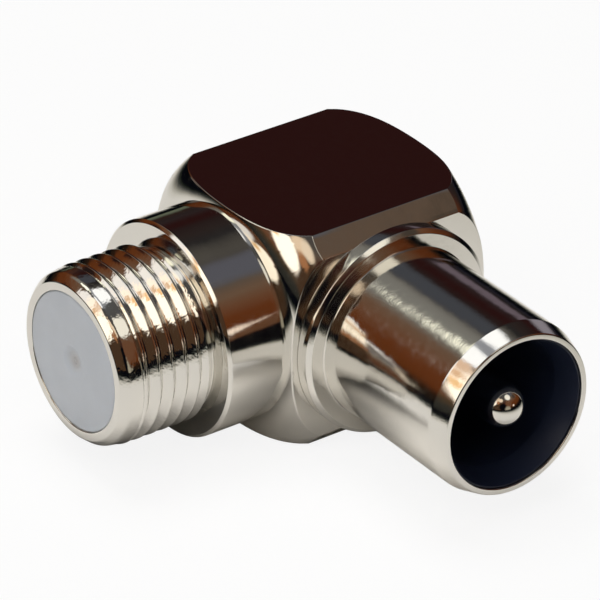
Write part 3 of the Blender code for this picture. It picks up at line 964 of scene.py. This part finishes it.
def floor_finish():
    """White paper. The camera sees it white, with the object's shadow on it.

    Reflections see painted light on it: its colour fades to dark away from the object, as the light
    on a small sheet in a dim room does, and painted shadows darken it close under the object.
    """
    colours = bpy.context.scene.adapter_colours
    material, tree, shader, place = new_finish("white_paper")
    tree.nodes.remove(shader)
    paper = add_node(tree, "ShaderNodeBsdfDiffuse")
    paper.inputs["Color"].default_value = (*colours.floor, 1.0)
    glow = add_node(tree, "ShaderNodeEmission", {"Strength": 1.03})
    glow.inputs["Color"].default_value = (1.0, 1.0, 1.0, 1.0)
    path = add_node(tree, "ShaderNodeLightPath")
    seen = add_node(tree, "ShaderNodeMix", None, {0: path.outputs["Is Camera Ray"]})
    seen.inputs[2].default_value = 0.0
    seen.inputs[3].default_value = PAPER_GLOW
    white = add_node(tree, "ShaderNodeMixShader", None,
                     {0: seen.outputs[0], 1: paper.outputs["BSDF"], 2: glow.outputs["Emission"]})
    middle = add_node(tree, "ShaderNodeVectorMath",
                      {"operation": "SUBTRACT", 1: (*[at * MM for at in SHEET_MIDDLE], 0.0)},
                      {0: place})
    widths = add_node(tree, "ShaderNodeVectorMath",
                      {"operation": "DIVIDE", 1: (*[reach * MM for reach in SHEET_REACH], 1.0)},
                      {0: middle.outputs["Vector"]})
    away = add_node(tree, "ShaderNodeVectorMath", {"operation": "LENGTH"},
                    {0: widths.outputs["Vector"]})
    far = add_node(tree, "ShaderNodeMapRange", {"From Min": 0.0, "From Max": SHEET_FADE_END},
                   {"Value": away.outputs["Value"]})
    # Painted light: the paper's colour fades with distance from the object
    lit = colour_ramp(tree, far.outputs["Result"], SHEET_PAINTED_LIGHT)
    # Painted shadows: each darkens the paper's colour close under the object
    for x, y, inner, outer, level in PAINTED_CONTACT_SHADOWS:
        under = add_node(tree, "ShaderNodeVectorMath",
                         {"operation": "DISTANCE", 1: (x * MM, y * MM, 0.0)}, {0: place})
        shade = add_node(tree, "ShaderNodeMapRange",
                         {"interpolation_type": "SMOOTHSTEP", "From Min": inner * MM,
                          "From Max": outer * MM, "To Min": level, "To Max": 1.0},
                         {"Value": under.outputs["Value"]})
        lit = add_node(tree, "ShaderNodeVectorMath", {"operation": "SCALE"},
                       {0: lit, "Scale": shade.outputs["Result"]}).outputs["Vector"]
    sheet = add_node(tree, "ShaderNodeBsdfDiffuse", None, {"Color": lit})
    mirror = add_node(tree, "ShaderNodeMath", {"operation": "MAXIMUM"},
                      {0: path.outputs["Is Glossy Ray"], 1: path.outputs["Is Transmission Ray"]})
    surface = add_node(tree, "ShaderNodeMixShader", None,
                       {0: mirror.outputs["Value"], 1: white.outputs["Shader"],
                        2: sheet.outputs["BSDF"]})
    tree.links.new(surface.outputs["Shader"], tree.nodes["Material Output"].inputs["Surface"])
    return material


# Floor and lamps, in metres
FLOOR_RADIUS = 1.2
LAMP_SIZE = 0.25
LAMP_DISTANCE = 0.45

# Name, power in watts, azimuth and elevation in degrees
LAMPS = (
    ("ceiling_lamp", 1.05, -80.0, 80.0),
    ("front_lamp", 0.63, 20.0, 50.0),
    ("right_lamp", 0.15, 75.0, 50.0),
)
# Diffuse light from all round, next to a white of 1 for the camera and in reflections
SURROUND_LIGHT = 0.04


def soft_lamp(name, power, azimuth, elevation):
    """A square soft lamp that shines at the object but doesn't show in it."""
    way = towards(azimuth, elevation)
    bpy.ops.object.light_add(type="AREA",
                             location=Vector((0.0, 0.0, AXIS_HEIGHT)) + way * LAMP_DISTANCE)
    lamp = bpy.context.object
    lamp.name = name
    lamp.rotation_euler = way.to_track_quat("Z", "Y").to_euler()
    lamp.data.size = LAMP_SIZE
    lamp.data.energy = power
    lamp.visible_camera = False
    lamp.visible_glossy = False


def white_surround():
    """A world that is white to the camera and in reflections, and gives a little light."""
    world = bpy.data.worlds.new("white_surround")
    world.use_nodes = True
    bpy.context.scene.world = world
    tree = world.node_tree
    path = add_node(tree, "ShaderNodeLightPath")
    shown = add_node(tree, "ShaderNodeMath", {"operation": "MAXIMUM"},
                     {0: path.outputs["Is Camera Ray"], 1: path.outputs["Is Glossy Ray"]})
    shown = add_node(tree, "ShaderNodeMath", {"operation": "MAXIMUM"},
                     {0: shown.outputs["Value"], 1: path.outputs["Is Transmission Ray"]})
    level = add_node(tree, "ShaderNodeMapRange", {"To Min": SURROUND_LIGHT, "To Max": 1.0},
                     {"Value": shown.outputs["Value"]})
    sky = tree.nodes["Background"]
    sky.inputs["Color"].default_value = (1.0, 1.0, 1.0, 1.0)
    tree.links.new(level.outputs["Result"], sky.inputs["Strength"])


# The camera that a fit to the photograph's edges gave, in metres, degrees and millimetres
CAMERA_PLACE = (0.177343, -0.131947, 0.134973)
CAMERA_TURN = (59.46852, -0.71436, 53.99524)
CAMERA_SENSOR = 36.0
CAMERA_LENS = 295.45


def photo_camera():
    bpy.ops.object.camera_add(location=CAMERA_PLACE,
                              rotation=[math.radians(angle) for angle in CAMERA_TURN])
    camera = bpy.context.object
    camera.name = "photo_camera"
    camera.data.sensor_width = CAMERA_SENSOR
    camera.data.lens = CAMERA_LENS
    bpy.context.scene.camera = camera


class COAX_OT_studio(bpy.types.Operator):
    """Lay the floor, hang the soft lamps and set the camera"""
    bl_idname = "coax.studio"
    bl_label = "Studio"

    def execute(self, context):
        context.scene.view_settings.view_transform = "Standard"
        deselect()
        bpy.ops.mesh.primitive_circle_add(vertices=128, radius=FLOOR_RADIUS, fill_type="NGON")
        floor = context.object
        floor.name = "floor"
        floor.data.materials.append(floor_finish())
        studio_dome()
        for lamp in LAMPS:
            soft_lamp(*lamp)
        white_surround()
        photo_camera()
        return {"FINISHED"}


class COAX_PT_adapter(bpy.types.Panel):
    """Steps and settings of the coax adapter"""
    bl_idname = "COAX_PT_adapter"
    bl_label = "Coax adapter"
    bl_space_type = "VIEW_3D"
    bl_region_type = "UI"
    bl_category = "Coax adapter"

    def draw(self, context):
        layout = self.layout
        for group in (context.scene.adapter_sizes, context.scene.adapter_colours):
            column = layout.column()
            for name in group.__annotations__:
                column.prop(group, name)
        for step in STEPS:
            layout.operator(step.bl_idname)


STEPS = (
    COAX_OT_body,
    COAX_OT_barrel,
    COAX_OT_lining,
    COAX_OT_pin,
    COAX_OT_disc,
    COAX_OT_cap,
    COAX_OT_inner_pieces,
    COAX_OT_studio,
)
GROUPS = {"adapter_sizes": AdapterSizes, "adapter_colours": AdapterColours}


def register():
    for name, group in GROUPS.items():
        bpy.utils.register_class(group)
        setattr(bpy.types.Scene, name, bpy.props.PointerProperty(type=group))
    for step in (*STEPS, COAX_PT_adapter):
        bpy.utils.register_class(step)


def unregister():
    for step in reversed((*STEPS, COAX_PT_adapter)):
        bpy.utils.unregister_class(step)
    for name, group in GROUPS.items():
        delattr(bpy.types.Scene, name)
        bpy.utils.unregister_class(group)


def main():
    register()
    for step in STEPS:
        family, name = step.bl_idname.split(".")
        getattr(getattr(bpy.ops, family), name)()


if __name__ == "__main__":
    main()
